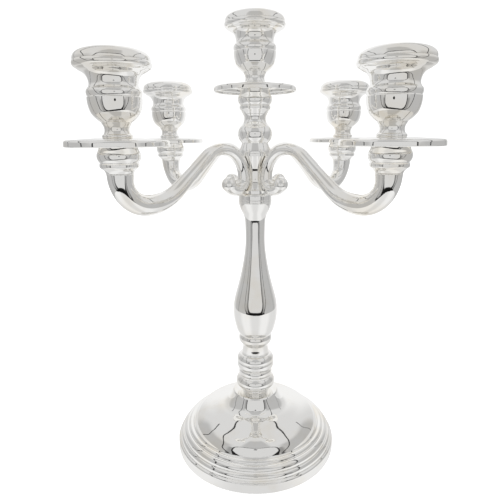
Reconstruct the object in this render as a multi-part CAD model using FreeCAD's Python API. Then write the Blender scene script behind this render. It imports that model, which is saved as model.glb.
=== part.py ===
import FreeCAD, Part
import math
import os

# Tabletop candelabra: a stepped round base, a turned stem, four scrolled arms round a
# centre column, and five lights. Each light is a collar, a drip pan, a candle cup and a
# lift-out nozzle on a threaded stud. Millimetres, +Z up, origin at the centre of the foot.

# ---- candle and light
candle_bore_radius = 11.1      # takes a 22 mm dinner candle
nozzle_wall = 0.8
nozzle_fit = 0.1               # radial running clearance of the nozzle in its cup
nozzle_floor = 1.0
nozzle_depth = 19.5            # length of nozzle below the cup's lip
nozzle_crown = 5.8             # height of the nozzle's domed brim above the lip
brim_inset = 0.5               # the brim is this much smaller than the lip
cup_wall = 1.1                 # at the waist, the thinnest place
cup_height = 39.8
cup_floor = 16.5               # height of the seat of the nozzle's chamber
lip_overhang = 7.9             # lip radius beyond the waist radius
nut_pocket_radius = 6.4
nut_pocket_floor = 12.2
pan_radius = 28.9
pan_plate = 1.5
pan_fall = 1.0                 # from the pan's middle down to its rim
pan_rim_height = 3.7
pan_rim_wall = 1.3
collar_height = 18.0
collar_radius = 12.1

# ---- threads and fasteners
stud_radius = 3.0
thread_gap = 0.05              # plain stand-in for an engaged thread
hole_gap = 0.2                 # radial clearance of a plain through hole
stud_engagement = 9.0
nut_flats = 10.0
nut_height = 4.0
stud_proud = 1.0               # stud above its nut
rod_radius = 3.0
rod_engagement = 12.0
rod_proud = 2.5                # rod below its nut
washer_radius = 9.0
washer_height = 1.5
peg_radius = 1.6               # locating peg of an arm in the hub
peg_gap = 0.05
peg_wall = 0.8                 # metal between a peg's hole and the rod's hole

# ---- base
felt_height = 1.5
felt_proud = 0.3               # felt below the base's edge
base_radius = 63.9
base_height = 47.5
base_wall = 1.4
base_neck_radius = 18.2
base_top_plate = 3.0
shoulder_height = 20.6
weight_height = 5.0
weight_hole_radius = 14.0
seat_gap = 0.3                 # felt and weight inside the base's wall

# ---- stem, from the base up
foot_bead_height = 14.3
foot_bead_radius = 14.4
flare_ring_height = 4.8
flare_ring_radius = 13.5
stem_joint_radius = 12.9       # where the foot bead meets the flare ring
knop_height = 14.6
knop_radius = 14.6
stem_neck_height = 15.1
stem_neck_radius = 10.4
stem_ring_radius = 12.6
baluster_height = 107.3
baluster_radius = 17.3
baluster_waist = 7.45
hub_ring_height = 4.8
hub_ring_radius = 12.4
hub_height = 28.8
hub_rim_radius = 11.6
column_height = 26.9
column_ball_radius = 12.3
column_neck_radius = 7.8

# ---- arms: the centreline lies in a plane through the stem's axis
arm_reach = 107.6              # from the stem's axis to a candle's axis
arm_riser = 2.7                # straight stretch under the collar
riser_bend = 17.5
bowl_bend = 35.0
arch_bend = 20.5
scroll_bend = 7.6
scroll_turn = 150.0
bowl_below_arch = 32.0         # lowest to highest point of the centreline
root_offset = 11.2             # centreline beside the hub, from the stem's axis
root_height = 11.5             # centre of the scroll above the hub's seat
root_tube_radius = 4.6
braze_gap = 0.25               # between hub and arm
scroll_ball_radius = 5.3
arm_top_radius = 7.85
arm_taper = [(0, arm_top_radius), (4, 7.5), (9, 7.0), (14, 6.75), (33, 6.3), (48, 5.4), (64, 4.6),
             (84, 4.15), (112, 4.1), (130, 4.5), (152, 4.8)]     # (distance along the arm, tube radius)
arm_azimuths = {"front_left": 225, "front_right": 315, "rear_right": 45, "rear_left": 135}

# ---- heights and radii that follow from the sizes above
rod_hole = rod_radius + hole_gap
stud_hole = stud_radius + hole_gap
foot_bead_seat = base_height
flare_ring_seat = foot_bead_seat + foot_bead_height
knop_seat = flare_ring_seat + flare_ring_height
stem_neck_seat = knop_seat + knop_height
baluster_seat = stem_neck_seat + stem_neck_height
hub_ring_seat = baluster_seat + baluster_height
hub_seat = hub_ring_seat + hub_ring_height
column_seat = hub_seat + hub_height
centre_collar_seat = column_seat + column_height
scroll_centre = (root_offset + scroll_bend, hub_seat + root_height)
arch_centre = (root_offset + arch_bend, hub_seat + root_height)
bowl_low = arch_centre[1] + arch_bend - bowl_below_arch
arm_top = bowl_low + riser_bend + arm_riser
hub_waist = root_offset - root_tube_radius - braze_gap
cup_bore = candle_bore_radius + nozzle_wall + nozzle_fit
cup_waist = cup_bore + cup_wall
lip_radius = cup_waist + lip_overhang


# ---- building helpers
def at(radius, height):
    return FreeCAD.Vector(radius, 0, height)


def turned(start, moves, seat=0.0):
    """Solid turned from line, arc and curve moves, standing at a seat height."""
    edges = []
    here = at(*start)
    for kind, *targets in moves:
        points = [at(*target) for target in targets]
        if kind == "line":
            edges.append(Part.LineSegment(here, points[0]).toShape())
        elif kind == "arc":
            edges.append(Part.Arc(here, points[0], points[1]).toShape())
        else:
            spline = Part.BSplineCurve()
            spline.interpolate([here] + points)
            edges.append(spline.toShape())
        here = points[-1]
    face = Part.Face(Part.Wire(edges))
    solid = face.revolve(FreeCAD.Vector(0, 0, 0), FreeCAD.Vector(0, 0, 1), 360)
    solid.translate(FreeCAD.Vector(0, 0, seat))
    return solid


def rod_between(radius, low, high):
    return Part.makeCylinder(radius, high - low, FreeCAD.Vector(0, 0, low))


def drilled(shape, radius, low, high):
    return shape.cut(rod_between(radius, low, high))


def hex_nut(low, bore):
    corner = nut_flats / math.sqrt(3)
    corners = [FreeCAD.Vector(corner * math.cos(math.radians(60 * k)),
                              corner * math.sin(math.radians(60 * k)), low) for k in range(7)]
    nut = Part.Face(Part.makePolygon(corners)).extrude(FreeCAD.Vector(0, 0, nut_height))
    return drilled(nut, bore, low - 1, low + nut_height + 1)


def save(node, shape):
    solids = shape.Solids
    if not solids or not shape.isValid():
        raise ValueError("bad solid: " + node)
    whole = solids[0] if len(solids) == 1 else Part.makeCompound(solids)
    whole.exportStep(os.path.join("parts", node + ".step"))
    print("%-22s %d solid %8.0f mm3" % (node, len(solids), whole.Volume))


# ---- base
def bell(inset):
    """Points of the base's bell, shoulder to neck, moved in by an inset."""
    run = base_radius - 13.0 - base_neck_radius
    rise = base_height - 0.8 - shoulder_height
    shares = [(1.0, 0.0), (0.955, 0.13), (0.86, 0.268), (0.70, 0.387), (0.505, 0.483),
              (0.312, 0.575), (0.15, 0.667), (0.055, 0.835), (0.0, 1.0)]
    return [(base_neck_radius + run * out - inset, shoulder_height + rise * up - inset)
            for out, up in shares]


def base_shell():
    edge = base_radius
    outer = bell(0)
    body = turned((0, felt_proud), [
        ("line", (edge - 1.0, felt_proud)),
        ("arc", (edge - 0.3, felt_proud + 0.3), (edge, felt_proud + 1.0)),
        ("line", (edge, 7.3)),
        ("arc", (edge - 0.4, 8.4), (edge - 1.3, 8.9)),
        ("line", (edge - 1.9, 9.2)),
        ("arc", (edge - 2.1, 11.9), (edge - 3.7, 13.5)),
        ("line", (edge - 4.3, 13.5)),
        ("arc", (edge - 5.1, 16.4), (edge - 7.6, 17.9)),
        ("line", (edge - 8.3, 17.9)),
        ("arc", (edge - 9.9, 20.1), (edge - 12.1, 19.9)),
        ("line", outer[0]),
        ("curve", *outer[1:]),
        ("line", (base_neck_radius - 0.8, base_height)),
        ("line", (0, base_height)),
        ("line", (0, felt_proud)),
    ])
    ceiling = base_height - base_top_plate
    roof = [point for point in bell(base_wall) if point[1] < ceiling - 1]
    cavity = turned((0, -1), [
        ("line", (edge - base_wall, -1)),
        ("line", (edge - base_wall, 7.0)),
        ("line", (edge - 3.6, 8.4)),
        ("line", (edge - 5.8, 12.0)),
        ("line", (edge - 9.2, 15.8)),
        ("line", roof[0]),
        ("curve", *roof[1:]),
        ("line", (roof[-1][0], ceiling)),
        ("line", (0, ceiling)),
        ("line", (0, -1)),
    ])
    return drilled(body.cut(cavity), rod_hole, 0, base_height + 1)


def felt_pad():
    return rod_between(base_radius - base_wall - seat_gap, 0, felt_height)


def base_weight():
    disc = rod_between(base_radius - base_wall - seat_gap, felt_height, felt_height + weight_height)
    return drilled(disc, weight_hole_radius, 0, felt_height + weight_height + 1)


# ---- stem
def foot_bead():
    wide = foot_bead_radius
    top = foot_bead_height
    shape = turned((0, 0), [
        ("line", (wide - 1.8, 0)),
        ("curve", (wide - 3.0, 1.6), (wide - 2.4, 3.9)),
        ("arc", (wide, 9.6), (stem_joint_radius, top - 0.7)),
        ("line", (stem_joint_radius, top)),
        ("line", (0, top)),
        ("line", (0, 0)),
    ], foot_bead_seat)
    return drilled(shape, rod_hole, 0, hub_seat)


def flare_ring():
    shape = turned((0, 0), [
        ("line", (stem_joint_radius, 0)),
        ("arc", (flare_ring_radius, 2.4), (stem_joint_radius, flare_ring_height)),
        ("line", (0, flare_ring_height)),
        ("line", (0, 0)),
    ], flare_ring_seat)
    return drilled(shape, rod_hole, 0, hub_seat)


def stem_knop():
    wide = knop_radius
    shape = turned((0, 0), [
        ("line", (wide - 1.3, 0)),
        ("arc", (wide, 3.2), (wide - 0.4, 6.1)),
        ("line", (wide - 0.8, 6.4)),
        ("line", (wide - 0.4, 6.7)),
        ("arc", (wide - 0.8, 9.8), (wide - 3.1, 12.6)),
        ("curve", (stem_neck_radius + 0.5, 13.5), (stem_neck_radius + 0.3, knop_height)),
        ("line", (0, knop_height)),
        ("line", (0, 0)),
    ], knop_seat)
    return drilled(shape, rod_hole, 0, hub_seat)


def stem_neck():
    ring = stem_ring_radius
    shape = turned((0, 0), [
        ("line", (stem_neck_radius + 0.3, 0)),
        ("curve", (stem_neck_radius, 2.5), (stem_neck_radius, 5.6), (stem_neck_radius + 0.6, 6.5)),
        ("line", (ring - 0.7, 6.9)),
        ("arc", (ring, 10.8), (ring - 0.3, stem_neck_height)),
        ("line", (0, stem_neck_height)),
        ("line", (0, 0)),
    ], stem_neck_seat)
    return drilled(shape, rod_hole, 0, hub_seat)


def baluster():
    waist = baluster_waist
    swell = baluster_radius - waist
    rise = baluster_height
    ring = hub_ring_radius
    body = [(0.69, 0.031), (0.85, 0.08), (0.94, 0.117), (1.0, 0.185), (0.975, 0.23),
            (0.89, 0.28), (0.735, 0.337), (0.53, 0.407), (0.30, 0.499), (0.13, 0.588),
            (0.015, 0.68), (0.0, 0.75), (0.015, 0.81)]     # (share of the swell, of the height)
    curve = [(waist + swell * out, rise * up) for out, up in body]
    curve += [(waist + 1.4, rise - 11.6), (ring - 1.8, rise - 8.0), (ring - 0.2, rise - 3.4)]
    shape = turned((0, 0), [
        ("line", (stem_ring_radius - 0.3, 0)),
        ("curve", *curve),
        ("line", (ring + 0.1, rise - 2.0)),
        ("line", (ring - 0.3, rise - 1.7)),
        ("line", (ring + 0.1, rise - 1.4)),
        ("line", (ring, rise)),
        ("line", (0, rise)),
        ("line", (0, 0)),
    ], baluster_seat)
    return drilled(shape, rod_hole, 0, hub_seat)


def hub_ring():
    ring = hub_ring_radius
    shape = turned((0, 0), [
        ("line", (ring - 0.1, 0)),
        ("line", (ring, 0.4)),
        ("line", (ring, 3.0)),
        ("arc", (ring - 0.5, 4.2), (ring - 2.0, hub_ring_height)),
        ("line", (0, hub_ring_height)),
        ("line", (0, 0)),
    ], hub_ring_seat)
    return drilled(shape, rod_hole, 0, hub_seat + 1)


def hub():
    """Waisted boss whose sides follow the scrolls and arches of the arms beside it."""
    low_bend = scroll_centre[0] - hub_waist
    foot = hub_ring_radius - 2.0
    foot_rise = root_height - math.sqrt(low_bend ** 2 - (scroll_centre[0] - foot) ** 2)
    high_bend = arch_centre[0] - hub_waist
    rim_rise = root_height + math.sqrt(high_bend ** 2 - (arch_centre[0] - hub_rim_radius) ** 2)
    low_mid = (scroll_centre[0] - low_bend * math.cos(math.radians(25)),
               root_height - low_bend * math.sin(math.radians(25)))
    high_mid = (arch_centre[0] - high_bend * math.cos(math.radians(20)),
                root_height + high_bend * math.sin(math.radians(20)))
    boss = turned((0, 0), [
        ("line", (foot, 0)),
        ("line", (foot, foot_rise)),
        ("arc", low_mid, (hub_waist, root_height)),
        ("arc", high_mid, (hub_rim_radius, rim_rise)),
        ("line", (hub_rim_radius, hub_height)),
        ("line", (0, hub_height)),
        ("line", (0, 0)),
    ], hub_seat)
    boss = drilled(boss, rod_hole, hub_seat - 1, column_seat + 1)
    for azimuth in arm_azimuths.values():
        hole = peg(azimuth, peg_radius + peg_gap, peg_gap)
        boss = boss.cut(hole)
    return boss


def peg(azimuth, radius, deeper):
    """Locating peg from the arm's root into the hub."""
    inner = rod_hole + peg_wall - deeper
    direction = FreeCAD.Vector(math.cos(math.radians(azimuth)), math.sin(math.radians(azimuth)), 0)
    start = direction * inner + FreeCAD.Vector(0, 0, arch_centre[1])
    return Part.makeCylinder(radius, root_offset - inner, start, direction)


def column():
    """Skirt, ball and neck between the hub and the centre collar."""
    neck = column_neck_radius
    ball = column_ball_radius
    shape = turned((0, 0), [
        ("line", (hub_rim_radius, 0)),
        ("curve", (hub_rim_radius - 0.1, 1.1), (hub_rim_radius - 0.7, 3.3), (neck + 1.6, 7.0)),
        ("arc", (ball, 12.8), (neck + 1.6, 19.6)),
        ("curve", (neck + 0.5, 21.3), (neck, 23.0), (neck, 24.5), (neck + 0.9, column_height)),
        ("line", (0, column_height)),
        ("line", (0, 0)),
    ], column_seat)
    shape = drilled(shape, rod_radius + thread_gap, column_seat - 1, column_seat + rod_engagement + 1)
    return drilled(shape, stud_radius + thread_gap, centre_collar_seat - stud_engagement - 1,
                   centre_collar_seat + 1)


# ---- arms
def arm_stations():
    """Centreline points, headings and distances, from the arm's top face to its scroll."""
    bowl_centre = (arm_reach - riser_bend, bowl_low + bowl_bend)
    across = bowl_centre[0] - arch_centre[0]
    up = bowl_centre[1] - arch_centre[1]
    slope = math.asin((arch_bend + bowl_bend) / math.hypot(across, up)) - math.atan2(up, across)
    straight = (across * math.cos(slope) - up * math.sin(slope))
    runs = [("straight", arm_riser, 2), (riser_bend, -90, 9), (bowl_bend, -math.degrees(slope), 5),
            ("straight", straight, 4), (arch_bend, math.degrees(slope) + 90, 12),
            (scroll_bend, scroll_turn, 14)]
    x, y, heading, along = arm_reach, arm_top, -90.0, 0.0
    stations = [(x, y, heading, along)]
    for kind, amount, steps in runs:
        for _ in range(steps):
            if kind == "straight":
                piece = amount / steps
                turn = 0.0
                chord = piece
            else:
                turn = amount / steps
                piece = math.radians(abs(turn)) * kind
                chord = 2 * kind * math.sin(math.radians(abs(turn)) / 2)
            middle = math.radians(heading + turn / 2)
            x += chord * math.cos(middle)
            y += chord * math.sin(middle)
            heading += turn
            along += piece
            stations.append((x, y, heading, along))
    return stations


def tube_radius(along, total):
    """Smoothly joined tube radius at a distance along the arm."""
    reach = [share * total / arm_taper[-1][0] for share, _ in arm_taper]
    for k in range(len(reach) - 1):
        if along <= reach[k + 1] or k == len(reach) - 2:
            share = min(1.0, (along - reach[k]) / (reach[k + 1] - reach[k]))
            return arm_taper[k][1] + share * (arm_taper[k + 1][1] - arm_taper[k][1])


def arm(azimuth):
    stations = arm_stations()
    total = stations[-1][3]
    rings = []
    for x, y, heading, along in stations:
        turn = math.radians(heading)
        circle = Part.Circle(at(x, y), at(math.cos(turn), math.sin(turn)), tube_radius(along, total))
        circle.XAxis = FreeCAD.Vector(0, 1, 0)
        rings.append(Part.Wire(circle.toShape()))
    tube = Part.makeLoft(rings, True, False)
    end = stations[-1]
    solid = tube.fuse(Part.makeSphere(scroll_ball_radius, at(end[0], end[1])))
    solid.rotate(FreeCAD.Vector(0, 0, 0), FreeCAD.Vector(0, 0, 1), azimuth)
    solid = solid.fuse(peg(azimuth, peg_radius, 0)).removeSplitter()
    middle = FreeCAD.Vector(arm_reach * math.cos(math.radians(azimuth)),
                            arm_reach * math.sin(math.radians(azimuth)), 0)
    tapped = rod_between(stud_radius + thread_gap, arm_top - stud_engagement - 1, arm_top + 1)
    return solid.cut(tapped.translated(middle))


# ---- one light, built on the axis with its collar's seat at height 0
def collar(neck):
    wide = collar_radius
    shape = turned((0, 0), [
        ("line", (neck, 0)),
        ("curve", (neck + 0.8, 1.4), (wide - 1.3, 3.2)),
        ("line", (wide - 1.0, 3.8)),
        ("line", (wide - 1.0, 5.2)),
        ("line", (wide - 1.5, 5.9)),
        ("line", (wide - 0.8, 6.8)),
        ("arc", (wide, 8.9), (wide - 0.9, 12.6)),
        ("curve", (wide - 1.4, 14.2), (wide - 1.6, 15.8)),
        ("line", (wide - 1.6, collar_height)),
        ("line", (0, collar_height)),
        ("line", (0, 0)),
    ])
    return drilled(shape, stud_hole, -1, collar_height + 1)


def drip_pan():
    edge = pan_radius
    rim_top = pan_plate - pan_fall
    rim_low = rim_top - pan_rim_height
    inside = edge - pan_rim_wall
    shape = turned((0, 0), [
        ("line", (collar_radius, 0)),
        ("line", (inside - 0.6, -pan_fall)),
        ("arc", (inside - 0.2, -pan_fall - 0.2), (inside, -pan_fall - 0.6)),
        ("line", (inside, rim_low + 0.4)),
        ("arc", (inside + 0.7, rim_low), (edge, rim_low + 0.5)),
        ("line", (edge, rim_top - 1.5)),
        ("arc", (edge - 0.5, rim_top - 0.4), (edge - 1.6, rim_top)),
        ("line", (collar_radius, pan_plate)),
        ("line", (0, pan_plate)),
        ("line", (0, 0)),
    ], collar_height)
    return drilled(shape, stud_hole, 0, collar_height + pan_plate + 1)


def candle_cup():
    w = cup_waist
    lip = lip_radius
    top = cup_height
    foot = collar_height + pan_plate
    shape = turned((0, 0), [
        ("line", (w - 5.2, 0)),
        ("arc", (w - 4.7, 0.9), (w - 5.2, 1.8)),
        ("line", (w - 5.7, 2.1)),
        ("curve", (w - 6.2, 3.6), (w - 6.4, 5.0), (w - 6.1, 6.4), (w - 5.4, 7.8), (w - 4.4, 9.2),
         (w - 3.1, 10.7), (w - 1.6, 12.0)),
        ("line", (w - 1.4, 12.6)),
        ("line", (w - 0.2, 13.0)),
        ("curve", (w + 0.7, 14.6), (w + 1.25, 16.6), (w + 1.6, 19.0), (w + 1.7, 21.4)),
        ("line", (w + 1.3, 21.9)),
        ("line", (w + 1.5, 22.3)),
        ("arc", (w + 1.85, 23.9), (w + 1.5, 25.5)),
        ("line", (w + 1.0, 26.0)),
        ("curve", (w + 0.25, 27.3), (w, 28.6), (w + 0.2, 30.0), (w + 0.65, 31.5), (w + 1.4, 32.8),
         (w + 2.7, 34.1), (lip - 3.0, 35.3), (lip - 1.7, 36.3)),
        ("arc", (lip, top - 1.6), (lip - 0.4, top)),
        ("line", (lip - 3.8, top)),
        ("curve", (cup_bore + 2.0, 36.4), (cup_bore + 0.3, 33.4), (cup_bore, 31.2)),
        ("line", (cup_bore, cup_floor)),
        ("line", (0, cup_floor)),
        ("line", (0, 0)),
    ], foot)
    shape = drilled(shape, nut_pocket_radius, foot + nut_pocket_floor, foot + cup_floor + 1)
    return drilled(shape, stud_hole, foot - 1, foot + cup_floor)


def nozzle():
    lip_height = collar_height + pan_plate + cup_height
    tube = candle_bore_radius + nozzle_wall
    brim = lip_radius - brim_inset
    crown = nozzle_crown
    return turned((0, -nozzle_depth), [
        ("line", (tube, -nozzle_depth)),
        ("line", (tube, 0)),
        ("line", (brim, 0)),
        ("line", (brim, 1.2)),
        ("curve", (brim - 0.3, 2.4), (brim - 1.3, 3.7), (brim - 3.1, 4.9), (brim - 5.6, crown - 0.1)),
        ("arc", (candle_bore_radius + 1.6, crown), (candle_bore_radius, crown - 1.4)),
        ("line", (candle_bore_radius, nozzle_floor - nozzle_depth)),
        ("line", (0, nozzle_floor - nozzle_depth)),
        ("line", (0, -nozzle_depth)),
    ], lip_height)


def light_stud():
    top = collar_height + pan_plate + nut_pocket_floor + nut_height + stud_proud
    return rod_between(stud_radius, -stud_engagement, top)


def light_nut():
    return hex_nut(collar_height + pan_plate + nut_pocket_floor, stud_radius + thread_gap)


# ---- assembly
os.makedirs("parts", exist_ok=True)

save("base_shell", base_shell())
save("felt_pad", felt_pad())
save("base_weight", base_weight())
save("foot_bead", foot_bead())
save("flare_ring", flare_ring())
save("stem_knop", stem_knop())
save("stem_neck", stem_neck())
save("baluster", baluster())
save("hub_ring", hub_ring())
save("hub", hub())
save("column", column())

nut_top = base_height - base_top_plate - washer_height
washer = rod_between(washer_radius, nut_top, nut_top + washer_height)
save("base_washer", drilled(washer, rod_hole, nut_top - 1, base_height))
save("base_nut", hex_nut(nut_top - nut_height, rod_radius + thread_gap))
save("tie_rod", rod_between(rod_radius, nut_top - nut_height - rod_proud, column_seat + rod_engagement))

for name, azimuth in arm_azimuths.items():
    save("arm_" + name, arm(azimuth))

places = {"centre": FreeCAD.Vector(0, 0, centre_collar_seat)}
for name, azimuth in arm_azimuths.items():
    places[name] = FreeCAD.Vector(arm_reach * math.cos(math.radians(azimuth)),
                                  arm_reach * math.sin(math.radians(azimuth)), arm_top)
for name, place in places.items():
    neck = column_neck_radius + 0.9 if name == "centre" else arm_top_radius
    save("collar_" + name, collar(neck).translated(place))
    save("drip_pan_" + name, drip_pan().translated(place))
    save("candle_cup_" + name, candle_cup().translated(place))
    save("nozzle_" + name, nozzle().translated(place))
save("light_studs", Part.makeCompound([light_stud().translated(place) for place in places.values()]))
save("light_nuts", Part.makeCompound([light_nut().translated(place) for place in places.values()]))
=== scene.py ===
import bpy
import bmesh
import numpy as np
from math import sin, cos, radians, degrees, pi, sqrt, hypot, asin, atan2
from mathutils import Vector, Matrix


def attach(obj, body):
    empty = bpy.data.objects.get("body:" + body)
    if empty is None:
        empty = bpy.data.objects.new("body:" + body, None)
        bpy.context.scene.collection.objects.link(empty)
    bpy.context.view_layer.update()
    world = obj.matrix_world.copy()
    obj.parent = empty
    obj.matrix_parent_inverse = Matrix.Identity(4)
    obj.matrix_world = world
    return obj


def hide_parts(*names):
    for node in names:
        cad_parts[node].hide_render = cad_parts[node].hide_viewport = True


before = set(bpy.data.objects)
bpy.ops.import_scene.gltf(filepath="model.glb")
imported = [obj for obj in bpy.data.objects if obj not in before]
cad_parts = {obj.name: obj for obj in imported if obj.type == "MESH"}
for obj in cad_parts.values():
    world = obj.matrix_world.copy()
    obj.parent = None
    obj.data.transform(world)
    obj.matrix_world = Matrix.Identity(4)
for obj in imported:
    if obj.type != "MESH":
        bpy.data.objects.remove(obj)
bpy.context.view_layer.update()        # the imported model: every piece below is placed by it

mm = 0.001
scene = bpy.context.scene
print("frame loaded:", len(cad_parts), "pieces")


# camera: eye level with the pans, close enough to show strong perspective
cameraLook = {
    "place": (3.28, -335.4, 248.6),     # mm
    "heading": -1.24,                   # degrees, clockwise from straight ahead
    "down": 14.06,
    "roll": -0.258,
    "lens": 32.59,
    "sensor": 36.0,
}


def setCamera(look):
    data = bpy.data.cameras.new("camera")
    data.lens = look["lens"]
    data.sensor_width = look["sensor"]
    data.clip_start = 0.01
    camera = bpy.data.objects.new("camera", data)
    scene.collection.objects.link(camera)
    turn = Matrix.Rotation(radians(-look["heading"]), 4, "Z")
    tilt = Matrix.Rotation(radians(90 - look["down"]), 4, "X")
    roll = Matrix.Rotation(radians(look["roll"]), 4, "Z")
    camera.matrix_world = Matrix.Translation(Vector(look["place"]) * mm) @ turn @ tilt @ roll
    scene.camera = camera
    return camera


camera = setCamera(cameraLook)
scene.view_settings.view_transform = "Standard"
print("camera set")


# finishes
silverLook = {
    "colour": (0.97, 0.963, 0.945, 1),
    "warmColour": (0.91, 0.86, 0.77, 1),   # where polish is thin
    "roughness": 0.02,
    "hazeRoughness": 0.07,
    "patchScale": 38.0,
    "waveScale": 46.0,                     # slow unevenness of the hand polish
    "waveDepth": 0.00010,
    "scratchScale": 900.0,
    "scratchDepth": 0.000002,
    "scratchStretch": 6.0,
    "warmFrom": 0.50, "warmTo": 0.80,      # shares of the noise where the warm colour comes in
    "hazeFrom": 0.45, "hazeTo": 0.85,
    "hazeScale": 3.2,                      # times the patches' scale
}


def newMaterial(name):
    material = bpy.data.materials.new(name)
    material.use_nodes = True
    nodes = material.node_tree.nodes
    return material, nodes, material.node_tree.links, nodes["Principled BSDF"]


def makeNode(nodes, kind, **settings):
    node = nodes.new(kind)
    for key, value in settings.items():
        if hasattr(node, key):
            setattr(node, key, value)
        else:
            node.inputs[key].default_value = value
    return node


def silverFinish(name, look):
    material, nodes, links, shader = newMaterial(name)
    shader.inputs["Metallic"].default_value = 1.0
    place = nodes.new("ShaderNodeTexCoord")
    # thin, warm patches where the polish hasn't reached
    patches = makeNode(nodes, "ShaderNodeTexNoise", Scale=look["patchScale"], Detail=5.0, Roughness=0.55)
    links.new(place.outputs["Object"], patches.inputs["Vector"])
    patchRamp = nodes.new("ShaderNodeValToRGB")
    patchRamp.color_ramp.elements[0].position = look["warmFrom"]
    patchRamp.color_ramp.elements[0].color = look["colour"]
    patchRamp.color_ramp.elements[1].position = look["warmTo"]
    patchRamp.color_ramp.elements[1].color = look["warmColour"]
    links.new(patches.outputs["Fac"], patchRamp.inputs["Fac"])
    links.new(patchRamp.outputs["Color"], shader.inputs["Base Color"])
    # faint haze from wiping
    hazeScale = look["patchScale"] * look["hazeScale"]
    haze = makeNode(nodes, "ShaderNodeTexNoise", Scale=hazeScale, Detail=6.0, Roughness=0.6)
    links.new(place.outputs["Object"], haze.inputs["Vector"])
    hazeRange = makeNode(nodes, "ShaderNodeMapRange")
    hazeRange.inputs["From Min"].default_value = look["hazeFrom"]
    hazeRange.inputs["From Max"].default_value = look["hazeTo"]
    hazeRange.inputs["To Min"].default_value = look["roughness"]
    hazeRange.inputs["To Max"].default_value = look["hazeRoughness"]
    links.new(haze.outputs["Fac"], hazeRange.inputs["Value"])
    links.new(hazeRange.outputs["Result"], shader.inputs["Roughness"])
    # unevenness and hairlines
    wave = makeNode(nodes, "ShaderNodeTexNoise", Scale=look["waveScale"], Detail=1.0, Roughness=0.3)
    links.new(place.outputs["Object"], wave.inputs["Vector"])
    waveBump = makeNode(nodes, "ShaderNodeBump", Strength=1.0, Distance=look["waveDepth"])
    links.new(wave.outputs["Fac"], waveBump.inputs["Height"])
    stretch = nodes.new("ShaderNodeMapping")
    stretch.inputs["Scale"].default_value = (1.0, 1.0, look["scratchStretch"])
    links.new(place.outputs["Object"], stretch.inputs["Vector"])
    scratch = makeNode(nodes, "ShaderNodeTexNoise", Scale=look["scratchScale"], Detail=2.0, Roughness=0.5)
    links.new(stretch.outputs["Vector"], scratch.inputs["Vector"])
    scratchBump = makeNode(nodes, "ShaderNodeBump", Strength=1.0, Distance=look["scratchDepth"])
    links.new(scratch.outputs["Fac"], scratchBump.inputs["Height"])
    links.new(waveBump.outputs["Normal"], scratchBump.inputs["Normal"])
    links.new(scratchBump.outputs["Normal"], shader.inputs["Normal"])
    return material


def roughFinish(name, low, high, scale, roughness, metallic=0.0, bumpDepth=0.0001, sheen=0.0):
    material, nodes, links, shader = newMaterial(name)
    shader.inputs["Metallic"].default_value = metallic
    shader.inputs["Roughness"].default_value = roughness
    shader.inputs["Sheen Weight"].default_value = sheen
    place = nodes.new("ShaderNodeTexCoord")
    grain = makeNode(nodes, "ShaderNodeTexNoise", Scale=scale, Detail=8.0, Roughness=0.65)
    links.new(place.outputs["Object"], grain.inputs["Vector"])
    ramp = nodes.new("ShaderNodeValToRGB")
    ramp.color_ramp.elements[0].position = 0.35
    ramp.color_ramp.elements[0].color = low
    ramp.color_ramp.elements[1].position = 0.68
    ramp.color_ramp.elements[1].color = high
    links.new(grain.outputs["Fac"], ramp.inputs["Fac"])
    links.new(ramp.outputs["Color"], shader.inputs["Base Color"])
    bump = makeNode(nodes, "ShaderNodeBump", Strength=1.0, Distance=bumpDepth)
    links.new(grain.outputs["Fac"], bump.inputs["Height"])
    links.new(bump.outputs["Normal"], shader.inputs["Normal"])
    return material


polishedSilver = silverFinish("polishedSilver", silverLook)
darkBaize = roughFinish("darkBaize", (0.012, 0.012, 0.014, 1), (0.04, 0.04, 0.045, 1), 2600, 0.95,
                        bumpDepth=0.0003, sheen=0.4)
zincSteel = roughFinish("zincSteel", (0.42, 0.42, 0.43, 1), (0.6, 0.6, 0.6, 1), 700, 0.32,
                        metallic=1.0, bumpDepth=0.00002)
castIron = roughFinish("castIron", (0.03, 0.03, 0.03, 1), (0.09, 0.088, 0.085, 1), 900, 0.8,
                       metallic=0.4, bumpDepth=0.0002)
print("finishes made")


# turning: a profile of line, arc and curve moves is sampled, its corners are eased, and it is
# spun round the axis
turning = {
    "step": 0.7,          # mm between rings along a curve
    "ease": 0.22,         # mm, how far a corner is eased back
    "support": 0.12,      # mm, ring beside an eased corner that keeps the flats flat
    "sharp": 14.0,        # degrees, a bend over this is a corner
    "arcTurn": 7.0,       # degrees at most between rings of an arc
    "easePieces": 5,
    "around": 144,
}


def splineRun(points, step):
    spots = np.array(points, dtype=float)
    count = len(spots)
    chord = np.hypot(*(spots[1:] - spots[:-1]).T)
    knots = np.concatenate([[0.0], np.cumsum(chord)])
    # natural cubic spline through the points
    gap = knots[1:] - knots[:-1]
    matrix = np.zeros((count, count))
    right = np.zeros((count, 2))
    matrix[0, 0] = matrix[-1, -1] = 1.0
    for k in range(1, count - 1):
        matrix[k, k - 1] = gap[k - 1]
        matrix[k, k] = 2 * (gap[k - 1] + gap[k])
        matrix[k, k + 1] = gap[k]
        right[k] = 3 * ((spots[k + 1] - spots[k]) / gap[k] - (spots[k] - spots[k - 1]) / gap[k - 1])
    bend = np.linalg.solve(matrix, right)
    line = []
    for k in range(count - 1):
        slope = (spots[k + 1] - spots[k]) / gap[k] - gap[k] * (2 * bend[k] + bend[k + 1]) / 3
        cubic = (bend[k + 1] - bend[k]) / (3 * gap[k])
        pieces = max(2, int(np.ceil(gap[k] / step)))
        for part in range(1, pieces + 1):
            t = gap[k] * part / pieces
            line.append(tuple(spots[k] + slope * t + bend[k] * t * t + cubic * t ** 3))
    return line


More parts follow.
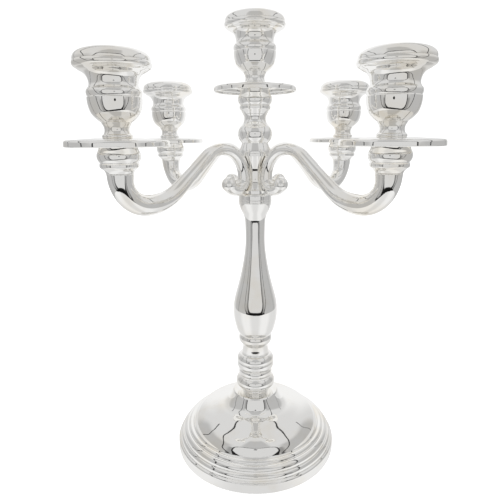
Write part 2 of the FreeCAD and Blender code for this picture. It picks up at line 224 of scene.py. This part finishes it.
def arcRun(start, middle, end, step):
    (ax, ay), (bx, by), (cx, cy) = start, middle, end
    d = 2 * (ax * (by - cy) + bx * (cy - ay) + cx * (ay - by))
    a, b, c = ax * ax + ay * ay, bx * bx + by * by, cx * cx + cy * cy
    ux = (a * (by - cy) + b * (cy - ay) + c * (ay - by)) / d
    uy = (a * (cx - bx) + b * (ax - cx) + c * (bx - ax)) / d
    radius = hypot(ax - ux, ay - uy)
    first, mid, last = (atan2(y - uy, x - ux) for x, y in (start, middle, end))
    sweep = (last - first) % (2 * pi)
    if (mid - first) % (2 * pi) > sweep:
        sweep -= 2 * pi
    pieces = max(4, int(np.ceil(abs(sweep) * radius / step)),
                 int(np.ceil(abs(degrees(sweep)) / turning["arcTurn"])))
    turns = [first + sweep * k / pieces for k in range(1, pieces + 1)]
    return [(ux + radius * cos(turn), uy + radius * sin(turn)) for turn in turns]


def followMoves(start, moves, step):
    line = [tuple(start)]
    for kind, *targets in moves:
        here = line[-1]
        if kind == "line":
            line.append(tuple(targets[0]))
        elif kind == "arc":
            line += arcRun(here, targets[0], targets[1], step)
        else:
            line += splineRun([here] + list(targets), step)
    return line


def easeCorners(line, look):
    eased = [line[0]]
    for k in range(1, len(line) - 1):
        before, here, after = (Vector(line[j]) for j in (k - 1, k, k + 1))
        inward, outward = here - before, after - here
        if inward.length < 1e-6 or outward.length < 1e-6:
            continue
        turn = degrees(inward.angle(outward))
        if turn < look["sharp"] or here.x < 0.01:
            eased.append(tuple(here))
            continue
        back = min(look["ease"], inward.length * 0.4, outward.length * 0.4)
        side = min(look["support"], inward.length * 0.1, outward.length * 0.1)
        first = here - inward.normalized() * back
        last = here + outward.normalized() * back
        eased.append(tuple(first - inward.normalized() * side))
        for j in range(look["easePieces"] + 1):
            t = j / look["easePieces"]
            eased.append(tuple(first * (1 - t) ** 2 + here * 2 * t * (1 - t) + last * t * t))
        eased.append(tuple(last + outward.normalized() * side))
    eased.append(line[-1])
    # long flats get rings too, so that the unevenness of the polish shows evenly
    full = [eased[0]]
    for spot in eased[1:]:
        length = hypot(spot[0] - full[-1][0], spot[1] - full[-1][1])
        here = full[-1]
        pieces = max(1, int(length / (look["step"] * 4)))
        for j in range(1, pieces + 1):
            full.append((here[0] + (spot[0] - here[0]) * j / pieces,
                         here[1] + (spot[1] - here[1]) * j / pieces))
    return full


def joinRings(shape, rings, around):
    for low, high in zip(rings, rings[1:]):
        for k in range(around):
            n = (k + 1) % around
            if len(low) == 1 and len(high) == 1:
                continue
            if len(low) == 1:
                shape.faces.new((low[0], high[n], high[k]))
            elif len(high) == 1:
                shape.faces.new((low[k], low[n], high[0]))
            else:
                shape.faces.new((low[k], low[n], high[n], high[k]))


def newPiece(name, shape, material):
    mesh = bpy.data.meshes.new(name)
    shape.to_mesh(mesh)
    shape.free()
    mesh.materials.append(material)
    piece = bpy.data.objects.new(name, mesh)
    scene.collection.objects.link(piece)
    return piece


def smoothSides(shape):
    bmesh.ops.recalc_face_normals(shape, faces=shape.faces)
    for face in shape.faces:
        face.smooth = len(face.verts) < 5     # an end cap stays flat


def spin(name, line, centre, around, material):
    shape = bmesh.new()
    rings = []
    for radius, height in line:
        if radius < 0.01:
            rings.append([shape.verts.new((centre[0] * mm, centre[1] * mm, height * mm))])
            continue
        rings.append([shape.verts.new(((centre[0] + radius * cos(2 * pi * k / around)) * mm,
                                       (centre[1] + radius * sin(2 * pi * k / around)) * mm,
                                       height * mm)) for k in range(around)])
    joinRings(shape, rings, around)
    smoothSides(shape)
    return newPiece(name, shape, material)


def turnedPiece(name, node, start, moves, seat=0.0, centre=(0, 0), material=polishedSilver, body="stand",
                around=None):
    line = followMoves(start, moves, turning["step"])
    line = easeCorners(line, turning)
    line = [(radius, height + seat) for radius, height in line]
    piece = spin(name, line, centre, around or turning["around"], material)
    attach(piece, body)
    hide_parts(node)


# base: stepped foot, shoulder, bell and neck
baseSizes = {"radius": 63.9, "height": 47.5, "neck": 18.2, "shoulder": 20.6, "felt": 0.3, "wall": 1.4}


def makeBase(size):
    edge, top, neck = size["radius"], size["height"], size["neck"]
    low = size["shoulder"]
    run, rise = edge - 13.0 - neck, top - 0.8 - low
    bell = [(neck + run * out, low + rise * up) for out, up in
            ((1.0, 0.0), (0.955, 0.13), (0.86, 0.268), (0.70, 0.387), (0.505, 0.483), (0.312, 0.575),
             (0.15, 0.667), (0.055, 0.835), (0.0, 1.0))]
    turnedPiece("base", "base_shell", (edge - size["wall"], 4.0), [
        ("line", (edge - size["wall"], size["felt"])),
        ("line", (edge - 1.0, size["felt"])),
        ("arc", (edge - 0.3, size["felt"] + 0.3), (edge, size["felt"] + 1.0)),
        ("line", (edge, 7.3)),
        ("arc", (edge - 0.4, 8.4), (edge - 1.3, 8.9)),
        ("line", (edge - 1.9, 9.2)),
        ("arc", (edge - 2.1, 11.9), (edge - 3.7, 13.5)),
        ("line", (edge - 4.3, 13.5)),
        ("arc", (edge - 5.1, 16.4), (edge - 7.6, 17.9)),
        ("line", (edge - 8.3, 17.9)),
        ("arc", (edge - 9.9, 20.1), (edge - 12.1, 19.9)),
        ("line", bell[0]),
        ("curve", *bell[1:]),
        ("line", (neck - 0.8, top)),
        ("line", (0, top)),
    ], around=192)


makeBase(baseSizes)
print("base turned")


# stem: bead, ring, knop, neck, baluster, hub ring, hub and column, each on the one below
stemSizes = {
    "beadHeight": 14.3, "beadRadius": 14.4, "jointRadius": 12.9,
    "flareHeight": 4.8, "flareRadius": 13.5,
    "knopHeight": 14.6, "knopRadius": 14.6,
    "neckHeight": 15.1, "neckRadius": 10.4, "ringRadius": 12.6,
    "balusterHeight": 107.3, "balusterRadius": 17.3, "balusterWaist": 7.45,
    "hubRingHeight": 4.8, "hubRingRadius": 12.4,
    "hubHeight": 28.8, "hubRim": 11.6, "hubWaist": 6.35,
    "columnHeight": 26.9, "columnBall": 12.3, "columnNeck": 7.8,
}


def makeStem(size, seat):
    wide, top, joint = size["beadRadius"], size["beadHeight"], size["jointRadius"]
    turnedPiece("footBead", "foot_bead", (0, 0), [
        ("line", (wide - 3.4, 0)),
        ("curve", (wide - 4.8, 0.9), (wide - 5.0, 1.8), (wide - 4.1, 2.6)),
        ("arc", (wide + 1.2, 7.6), (joint, 13.2)),
        ("line", (joint, top)),
        ("line", (0, top)),
    ], seat)
    seat += top
    turnedPiece("flareRing", "flare_ring", (0, 0), [
        ("line", (joint, 0)),
        ("arc", (size["flareRadius"], 2.4), (joint, size["flareHeight"])),
        ("line", (0, size["flareHeight"])),
    ], seat)
    seat += size["flareHeight"]
    wide, neck = size["knopRadius"], size["neckRadius"]
    turnedPiece("knop", "stem_knop", (0, 0), [
        ("line", (wide - 1.6, 0)),
        ("arc", (wide + 0.1, 3.4), (wide - 0.1, 6.5)),
        ("line", (wide - 0.5, 6.8)),
        ("line", (wide - 0.1, 7.1)),
        ("arc", (wide - 0.3, 10.6), (wide - 2.7, 13.0)),
        ("curve", (neck + 0.5, 13.5), (neck + 0.3, size["knopHeight"])),
        ("line", (0, size["knopHeight"])),
    ], seat)
    seat += size["knopHeight"]
    ring = size["ringRadius"]
    turnedPiece("stemNeck", "stem_neck", (0, 0), [
        ("line", (neck + 0.3, 0)),
        ("curve", (neck, 2.5), (neck, 6.6), (neck + 0.8, 8.2)),
        ("line", (ring - 0.6, 8.6)),
        ("arc", (ring + 0.6, 11.8), (ring - 0.3, size["neckHeight"])),
        ("line", (0, size["neckHeight"])),
    ], seat)
    seat += size["neckHeight"]
    waist, rise = size["balusterWaist"], size["balusterHeight"]
    swell, cap = size["balusterRadius"] - waist, size["hubRingRadius"]
    body = [(waist + swell * out, rise * up) for out, up in
            ((0.69, 0.031), (0.85, 0.08), (0.94, 0.117), (1.0, 0.185), (0.975, 0.23), (0.89, 0.28),
             (0.735, 0.337), (0.53, 0.407), (0.30, 0.499), (0.13, 0.588), (0.015, 0.68), (0.0, 0.75),
             (0.015, 0.81))]
    body += [(waist + 1.4, rise - 11.6), (cap - 1.8, rise - 8.0), (cap - 0.2, rise - 3.4)]
    turnedPiece("turnedBaluster", "baluster", (0, 0), [
        ("line", (ring - 0.3, 0)),
        ("curve", *body),
        ("line", (cap + 0.1, rise - 2.0)),
        ("line", (cap - 0.3, rise - 1.7)),
        ("line", (cap + 0.1, rise - 1.4)),
        ("line", (cap, rise)),
        ("line", (0, rise)),
    ], seat)
    seat += rise
    turnedPiece("hubRing", "hub_ring", (0, 0), [
        ("line", (cap - 0.1, 0)),
        ("line", (cap, 0.4)),
        ("line", (cap, 3.0)),
        ("arc", (cap - 0.5, 4.2), (cap - 2.0, size["hubRingHeight"])),
        ("line", (0, size["hubRingHeight"])),
    ], seat)
    seat += size["hubRingHeight"]
    rim, waist = size["hubRim"], size["hubWaist"]
    turnedPiece("hubBoss", "hub", (0, 0), [
        ("line", (cap - 2.0, 0)),
        ("line", (cap - 2.0, 2.3)),
        ("arc", (waist + 1.17, 6.2), (waist, 11.5)),
        ("arc", (waist + 1.5, 20.2), (rim, 26.95)),
        ("line", (rim, size["hubHeight"])),
        ("line", (0, size["hubHeight"])),
    ], seat)
    seat += size["hubHeight"]
    neck, ball = size["columnNeck"], size["columnBall"]
    turnedPiece("columnBall", "column", (0, 0), [
        ("line", (rim, 0)),
        ("curve", (rim - 0.1, 1.1), (rim - 0.7, 3.3), (neck + 1.6, 7.0)),
        ("arc", (ball, 12.8), (neck + 1.6, 19.6)),
        ("curve", (neck + 0.5, 21.3), (neck, 23.0), (neck, 24.5), (neck + 0.9, size["columnHeight"])),
        ("line", (0, size["columnHeight"])),
    ], seat)
    seat += size["columnHeight"]
    return seat


centreSeat = makeStem(stemSizes, baseSizes["height"])
hubSeat = centreSeat - stemSizes["columnHeight"] - stemSizes["hubHeight"]
print("stem turned")


# arms: one tapered tube that dips from the collar, climbs over the arch and curls into a scroll
armSizes = {
    "reach": 107.6, "riser": 2.7, "riserBend": 17.5, "bowlBend": 35.0, "archBend": 20.5,
    "scrollBend": 7.6, "scrollTurn": 150.0, "drop": 32.0, "root": 11.2, "rootRise": 11.5,
    "ball": 5.3, "topRadius": 7.85,
    # (mm along the tube, radius), from the collar to the scroll; the lengths stretch with the arm
    "taper": ((0, 7.85), (4, 7.5), (9, 7.0), (14, 6.75), (33, 6.3), (48, 5.4), (64, 4.6), (84, 4.15),
              (112, 4.1), (130, 4.5), (152, 4.8)),
    "ballPieces": 24,
    "around": 64,
    "step": 0.9,
    "azimuths": {"front_left": 225, "front_right": 315, "rear_right": 45, "rear_left": 135},
}
armLow = hubSeat + armSizes["rootRise"] + armSizes["archBend"] - armSizes["drop"]
armTop = armLow + armSizes["riserBend"] + armSizes["riser"]


def armLine(size):
    archCentre = (size["root"] + size["archBend"], hubSeat + size["rootRise"])
    across = size["reach"] - size["riserBend"] - archCentre[0]
    up = armLow + size["bowlBend"] - archCentre[1]
    slope = asin((size["archBend"] + size["bowlBend"]) / hypot(across, up)) - atan2(up, across)
    straight = across * cos(slope) - up * sin(slope)
    runs = [(0, size["riser"]), (-90, size["riserBend"]),
            (-degrees(slope), size["bowlBend"]), (0, straight),
            (degrees(slope) + 90, size["archBend"]), (size["scrollTurn"], size["scrollBend"])]
    x, y, heading, along = size["reach"], armTop, -90.0, 0.0
    line = [(x, y, heading, along)]
    for turn, amount in runs:
        length = amount if turn == 0 else radians(abs(turn)) * amount
        pieces = int(np.ceil(length / size["step"]))
        for _ in range(pieces):
            part = turn / pieces
            chord = length / pieces if turn == 0 else 2 * amount * sin(radians(abs(part)) / 2)
            x += chord * cos(radians(heading + part / 2))
            y += chord * sin(radians(heading + part / 2))
            heading += part
            along += length / pieces
            line.append((x, y, heading, along))
    return line


def armProfile(size):
    line = armLine(size)
    total = line[-1][3]
    share = total / size["taper"][-1][0]
    knots = splineRun([(along * share, radius) for along, radius in size["taper"]], 0.5)
    knots = np.array([(0, size["taper"][0][1])] + knots)
    stations = [(x, y, heading, float(np.interp(along, knots[:, 0], knots[:, 1])))
                for x, y, heading, along in line]
    # the scroll's tube runs into its ball
    ball = size["ball"]
    meet = sqrt(ball ** 2 - size["taper"][-1][1] ** 2)
    stations = [s for s, place in zip(stations, line) if total - place[3] > meet]
    x, y, heading, _ = line[-1]
    back = asin(size["taper"][-1][1] / ball)
    for k in range(size["ballPieces"] + 1):
        angle = back + (pi - back) * k / size["ballPieces"]
        reach, radius = -ball * cos(angle), ball * sin(angle)
        stations.append((x + reach * cos(radians(heading)), y + reach * sin(radians(heading)),
                         heading, radius))
    return stations


def makeArm(name, azimuth, size):
    stations = armProfile(size)
    around = size["around"]
    shape = bmesh.new()
    out = Vector((cos(radians(azimuth)), sin(radians(azimuth)), 0))
    side = Vector((-out.y, out.x, 0))
    rings = []
    for x, y, heading, radius in stations:
        centre = (out * x + Vector((0, 0, y))) * mm
        normal = out * -sin(radians(heading)) + Vector((0, 0, cos(radians(heading))))
        if radius < 0.01:
            rings.append([shape.verts.new(centre)])
        else:
            rings.append([shape.verts.new(centre + (normal * cos(2 * pi * k / around)
                                                    + side * sin(2 * pi * k / around)) * radius * mm)
                          for k in range(around)])
    joinRings(shape, rings, around)
    shape.faces.new(rings[0])
    smoothSides(shape)
    return newPiece(name, shape, polishedSilver)


for place, azimuth in armSizes["azimuths"].items():
    arm = makeArm("arm." + place, azimuth, armSizes)
    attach(arm, "stand")
    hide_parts("arm_" + place)
print("arms swept")


# lights: collar, drip pan, candle cup and lift-out nozzle on each seat
lightSizes = {
    "collarHeight": 18.0, "collarRadius": 12.1,
    "panRadius": 28.9, "panPlate": 1.5, "panFall": 1.0, "panRim": 3.7, "panWall": 1.3,
    "cupHeight": 39.8, "cupWaist": 13.1, "cupBore": 12.0, "cupFloor": 16.5, "lip": 21.0, "nutPocket": 6.4,
    "nutFloor": 12.2,
    "bore": 11.1, "nozzleWall": 0.8, "nozzleDepth": 19.5, "nozzleFloor": 1.0,
    "brimInset": 0.5, "crown": 5.8,
}


def makeLight(place, centre, seat, neck, size):
    wide, top = size["collarRadius"], size["collarHeight"]
    turnedPiece("collar." + place, "collar_" + place, (0, 0), [
        ("line", (neck, 0)),
        ("curve", (neck + 0.8, 1.4), (wide - 1.3, 3.2)),
        ("line", (wide - 1.0, 3.8)),
        ("line", (wide - 1.0, 5.2)),
        ("line", (wide - 1.5, 5.9)),
        ("line", (wide - 0.8, 6.8)),
        ("arc", (wide, 8.9), (wide - 0.9, 12.6)),
        ("curve", (wide - 1.4, 14.2), (wide - 1.6, 15.8)),
        ("line", (wide - 1.6, top)),
        ("line", (0, top)),
    ], seat, centre)
    seat += top
    edge, plate = size["panRadius"], size["panPlate"]
    fall = size["panFall"]
    rimTop = plate - fall
    rimLow, inside = rimTop - size["panRim"], edge - size["panWall"]
    turnedPiece("dripPan." + place, "drip_pan_" + place, (0, 0), [
        ("line", (wide, 0)),
        ("line", (inside - 0.6, -fall)),
        ("arc", (inside - 0.2, -fall - 0.2), (inside, -fall - 0.6)),
        ("line", (inside, rimLow + 0.4)),
        ("arc", (inside + 0.7, rimLow), (edge, rimLow + 0.5)),
        ("line", (edge - 0.1, rimTop - 1.5)),
        ("arc", (edge - 0.6, rimTop - 0.4), (edge - 1.65, rimTop)),
        ("line", (wide, plate)),
        ("line", (0, plate)),
    ], seat, centre)
    seat += plate
    w, lip, top, bore = size["cupWaist"], size["lip"], size["cupHeight"], size["cupBore"]
    turnedPiece("candleCup." + place, "candle_cup_" + place, (0, 0), [
        ("line", (w - 5.2, 0)),
        ("arc", (w - 4.7, 0.9), (w - 5.2, 1.8)),
        ("line", (w - 5.7, 2.1)),
        ("curve", (w - 6.2, 3.4), (w - 6.3, 4.8), (w - 6.0, 6.2), (w - 5.2, 7.6)),
        ("line", (w - 4.9, 8.4)),
        ("line", (w - 4.3, 8.8)),
        ("curve", (w - 3.0, 9.8), (w - 1.5, 11.2), (w - 0.1, 13.0), (w + 0.8, 15.2), (w + 1.5, 18.2),
         (w + 1.7, 21.4)),
        ("line", (w + 1.3, 21.9)),
        ("line", (w + 1.5, 22.3)),
        ("arc", (w + 1.85, 23.9), (w + 1.5, 25.5)),
        ("line", (w + 1.0, 26.0)),
        ("curve", (w + 0.25, 27.3), (w, 28.6), (w + 0.2, 30.0), (w + 0.65, 31.5), (w + 1.4, 32.8),
         (w + 2.7, 34.1), (lip - 3.0, 35.3), (lip - 1.7, 36.3)),
        ("arc", (lip, top - 1.6), (lip - 0.4, top)),
        ("line", (lip - 3.8, top)),
        ("curve", (bore + 2.0, 36.4), (bore + 0.3, 33.4), (bore, 31.2)),
        ("line", (bore, size["cupFloor"])),
        ("line", (size["nutPocket"], size["cupFloor"])),
        ("line", (size["nutPocket"], size["nutFloor"])),
        ("line", (0, size["nutFloor"])),
    ], seat, centre)
    seat += top
    inner, crown, depth = size["bore"], size["crown"], size["nozzleDepth"]
    tube, brim = inner + size["nozzleWall"], lip - size["brimInset"]
    turnedPiece("nozzle." + place, "nozzle_" + place, (0, -depth), [
        ("line", (tube, -depth)),
        ("line", (tube, 0)),
        ("line", (brim, 0)),
        ("line", (brim, 1.2)),
        ("curve", (brim - 0.3, 2.4), (brim - 1.3, 3.7), (brim - 3.1, 4.9), (brim - 5.6, crown - 0.1)),
        ("arc", (inner + 1.6, crown), (inner, crown - 1.4)),
        ("line", (inner, size["nozzleFloor"] - depth)),
        ("line", (0, size["nozzleFloor"] - depth)),
    ], seat, centre, body="nozzle_" + place + "_body")


makeLight("centre", (0, 0), centreSeat, stemSizes["columnNeck"] + 0.9, lightSizes)
for place, azimuth in armSizes["azimuths"].items():
    spot = (armSizes["reach"] * cos(radians(azimuth)), armSizes["reach"] * sin(radians(azimuth)))
    makeLight(place, spot, armTop, armSizes["topRadius"], lightSizes)
print("lights turned")


# pieces that keep their own shape
keptFinishes = {"felt_pad": darkBaize, "base_weight": castIron,
                "base_washer": zincSteel, "base_nut": zincSteel, "tie_rod": zincSteel,
                "light_studs": zincSteel, "light_nuts": zincSteel}
for node, finish in keptFinishes.items():
    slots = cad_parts[node].data.materials
    slots.clear()
    slots.append(finish)


# studio: a white light tent on a pale floor. The tent, its darker side walls, the card round the
# lens and the seams between them are seen only by the polish, never by the camera
studio = {
    "white": 1.15,
    "floorWhite": 0.93,
    "floorGlow": 0.5,
    "tentRadius": 450.0,     # mm, round a point on the stem
    "tentCentre": 200.0,
    "tone": 0.70,
    # softly edged areas: azimuth from, to, height from, to (degrees from straight ahead and from
    # level), softness, brightness
    "areas": (
        (-206, -146, -90, 60, 12, 0.92),
        (146, 206, -90, 60, 12, 0.92),
        (-122, -44, -40, 22, 9, 0.50),
        (46, 124, -40, 22, 9, 0.49),
        (-46, -36, -30, 8, 4, 0.33),
        (38, 48, -30, 8, 4, 0.30),
        (-28, 30, 27, 72, 6, 0.50),
    ),
    "floorTone": 0.74,
    "floorAreas": (
        (-75, -25, -90, 0, 14, 0.88),
        (25, 75, -90, 0, 14, 0.88),
        (140, 220, -90, 0, 20, 0.92),
        (-220, -140, -90, 0, 20, 0.92),
    ),
    "baseReach": 90, "baseShade": 0.97,    # painted shade: the floor round the foot is a little darker, where the stand shades it
    "tentStep": 1.5, "cardStep": 0.5,      # degrees between the points that carry the brightness
    # dark gap between the floor's front edge and the card, narrower towards its ends
    "gap": {"from": 368.0, "bow": 34.0, "half": 47, "low": -28, "high": -24.0, "tone": 0.008},
    # the card round the camera, with rounded corners and a dark edge that is thicker below
    "card": {"centre": (0.8, 1.5), "half": (37.0, 24.0), "corner": 16.0, "tone": 0.69, "edge": 2.4,
             "edgeBelow": 6.5, "edgeTone": 0.02},
    # thin seams, with the (azimuth, height) that each one passes; widths in degrees
    "seams": (
        {"width": 2.2, "tone": 0.05,
         "path": ((-41, -24), (-51, -19), (-55, -4), (-66, 25), (-88, 42), (-111, 53), (-128, 56), (-142, 60))},
        {"width": 2.2, "tone": 0.05,
         "path": ((42, -24), (51, -16), (61, 5), (70, 25), (84, 42), (116, 53), (129, 55), (138, 59))},
        {"width": 1.6, "tone": 0.08,
         "path": ((-98, -34), (-93, -18), (-90, -6), (-97, 16), (-112, 31), (-129, 35.5))},
        {"width": 1.3, "tone": 0.2,
         "path": ((107, -34), (107, -10), (114, 18), (131, 28.5))},
    ),
    "seamStep": 2.0,
    "lens": 19.0, "lensTone": 0.004,
}


def softEdge(value, low, high, soft):
    inside = min(value - low, high - value) / soft
    inside = max(0.0, min(1.0, inside * 0.5 + 0.5))
    return inside * inside * (3 - 2 * inside)


def toneAt(azimuth, height, tone, areas):
    for fromAzimuth, toAzimuth, low, high, soft, level in areas:
        share = max(softEdge(azimuth + turn, fromAzimuth, toAzimuth, soft) for turn in (-360, 0, 360))
        share *= softEdge(height, low, high, soft)
        tone += (level - tone) * share
    return tone


def cardTone(card, azimuth, height, tone):
    x, y = (abs(value - centre) - half + card["corner"]
            for value, centre, half in zip((azimuth, height), card["centre"], card["half"]))
    away = hypot(max(x, 0), max(y, 0)) + min(max(x, y), 0) - card["corner"]
    low = max(0.0, (card["centre"][1] - height) / card["half"][1])
    edge = card["edge"] + (card["edgeBelow"] - card["edge"]) * min(1.0, low) ** 3
    if away < 0:
        return card["tone"]
    return card["edgeTone"] if away < edge else tone


def glowMaterial():
    material = bpy.data.materials.new("tentGlow")
    material.use_nodes = True
    nodes = material.node_tree.nodes
    nodes.clear()
    glow = nodes.new("ShaderNodeEmission")
    tone = makeNode(nodes, "ShaderNodeVertexColor", layer_name="tone")
    out = nodes.new("ShaderNodeOutputMaterial")
    material.node_tree.links.new(tone.outputs["Color"], glow.inputs["Color"])
    material.node_tree.links.new(glow.outputs["Emission"], out.inputs["Surface"])
    return material


tentGlow = glowMaterial()


def onlyInPolish(piece):
    piece.visible_camera = False
    piece.visible_diffuse = False
    piece.visible_shadow = False
    piece.visible_transmission = False


def tentCard(name, rows, tones):
    shape = bmesh.new()
    grid = [[shape.verts.new(Vector(spot) * mm) for spot in row] for row in rows]
    for low, high in zip(grid, grid[1:]):
        for k in range(len(low) - 1):
            shape.faces.new((low[k], low[k + 1], high[k + 1], high[k]))
    card = newPiece(name, shape, tentGlow)
    layer = card.data.color_attributes.new("tone", "FLOAT_COLOR", "POINT")
    flat = [tone for row in tones for tone in row]
    layer.data.foreach_set("color", np.repeat(np.array(flat), 4))
    onlyInPolish(card)


def onTent(look, azimuth, height, inset=0.0):
    radius = look["tentRadius"] - inset
    flat = radius * cos(radians(height))
    return (flat * sin(radians(azimuth)), -flat * cos(radians(azimuth)),
            look["tentCentre"] + radius * sin(radians(height)))


def onFloor(azimuth, reach, lift):
    return (reach * sin(radians(azimuth)), -reach * cos(radians(azimuth)), lift)


def makeShell(look):
    azimuths = np.arange(-180, 181, look["tentStep"])
    heights = np.arange(-36, 91, look["tentStep"])
    tentCard("tent", [[onTent(look, a, h) for a in azimuths] for h in heights],
             [[toneAt(a, h, look["tone"], look["areas"]) for a in azimuths] for h in heights])
    reaches = np.concatenate([np.arange(0, 410, 25), [look["tentRadius"]]])
    # painted shade: the reflected floor is darkened round the foot, where the stand shades it
    shades = [1 if reach > look["baseReach"] else look["baseShade"] for reach in reaches]
    tentCard("tentFloor", [[onFloor(a, reach, -0.05) for a in azimuths] for reach in reaches],
             [[toneAt(a, -45, look["floorTone"], look["floorAreas"]) * shade for a in azimuths]
              for shade in shades])


def makeCard(look):
    azimuths = np.arange(-60, 60.1, look["cardStep"])
    heights = np.arange(-34, 38.1, look["cardStep"])
    tentCard("card", [[onTent(look, a, h, 1.0) for a in azimuths] for h in heights],
             [[cardTone(look["card"], a, h, toneAt(a, h, look["tone"], look["areas"])) for a in azimuths]
              for h in heights])


def makeGap(look):
    gap = look["gap"]
    span = np.linspace(-gap["half"], gap["half"], 33)
    near = [gap["from"] + gap["bow"] * (a / gap["half"]) ** 2 for a in span]
    far = [look["tentRadius"]] * len(span)
    tones = [[gap["tone"]] * len(span)] * 2
    tentCard("gapFlat", [[onFloor(a, reach, 0.3) for a, reach in zip(span, edge)] for edge in (near, far)],
             tones)
    tentCard("gapUpright", [[onTent(look, a, h, 2.0) for a in span] for h in (gap["low"], gap["high"])],
             tones)


def makeSeams(look):
    for k, seam in enumerate(look["seams"]):
        line = np.array([seam["path"][0]] + splineRun(seam["path"], look["seamStep"]))
        along = np.gradient(line, axis=0)
        across = np.stack([-along[:, 1], along[:, 0]], 1)
        across /= np.linalg.norm(across, axis=1)[:, None]
        rows = [[onTent(look, *(spot + side * seam["width"] / 2 * out), 3.0)
                 for spot, out in zip(line, across)] for side in (-1, 1)]
        tentCard("seam.%d" % k, rows, [[seam["tone"]] * len(line)] * 2)


def makeFloor(look):
    world = bpy.data.worlds.new("tentLight")
    world.use_nodes = True
    background = world.node_tree.nodes["Background"]
    background.inputs["Color"].default_value = (1, 1, 1, 1)
    background.inputs["Strength"].default_value = look["white"]
    scene.world = world
    shape = bmesh.new()
    bmesh.ops.create_grid(shape, x_segments=2, y_segments=2, size=4.0)
    material = bpy.data.materials.new("paleFloor")
    material.use_nodes = True
    shader = material.node_tree.nodes["Principled BSDF"]
    shader.inputs["Base Color"].default_value = (look["floorWhite"],) * 3 + (1,)
    shader.inputs["Roughness"].default_value = 0.9
    shader.inputs["Specular IOR Level"].default_value = 0.0
    shader.inputs["Emission Color"].default_value = (1, 1, 1, 1)
    shader.inputs["Emission Strength"].default_value = look["floorGlow"]
    floor = newPiece("floor", shape, material)
    floor.visible_glossy = False


def makeLens(look):
    shape = bmesh.new()
    bmesh.ops.create_circle(shape, cap_ends=True, segments=32, radius=look["lens"] * mm)
    dot = newPiece("lensDot", shape, tentGlow)
    layer = dot.data.color_attributes.new("tone", "FLOAT_COLOR", "POINT")
    layer.data.foreach_set("color", [look["lensTone"]] * 4 * len(dot.data.vertices))
    dot.matrix_world = camera.matrix_world @ Matrix.Translation((0, 0, -0.002))
    onlyInPolish(dot)


makeFloor(studio)
makeShell(studio)
makeCard(studio)
makeGap(studio)
makeSeams(studio)
makeLens(studio)
print("studio set")
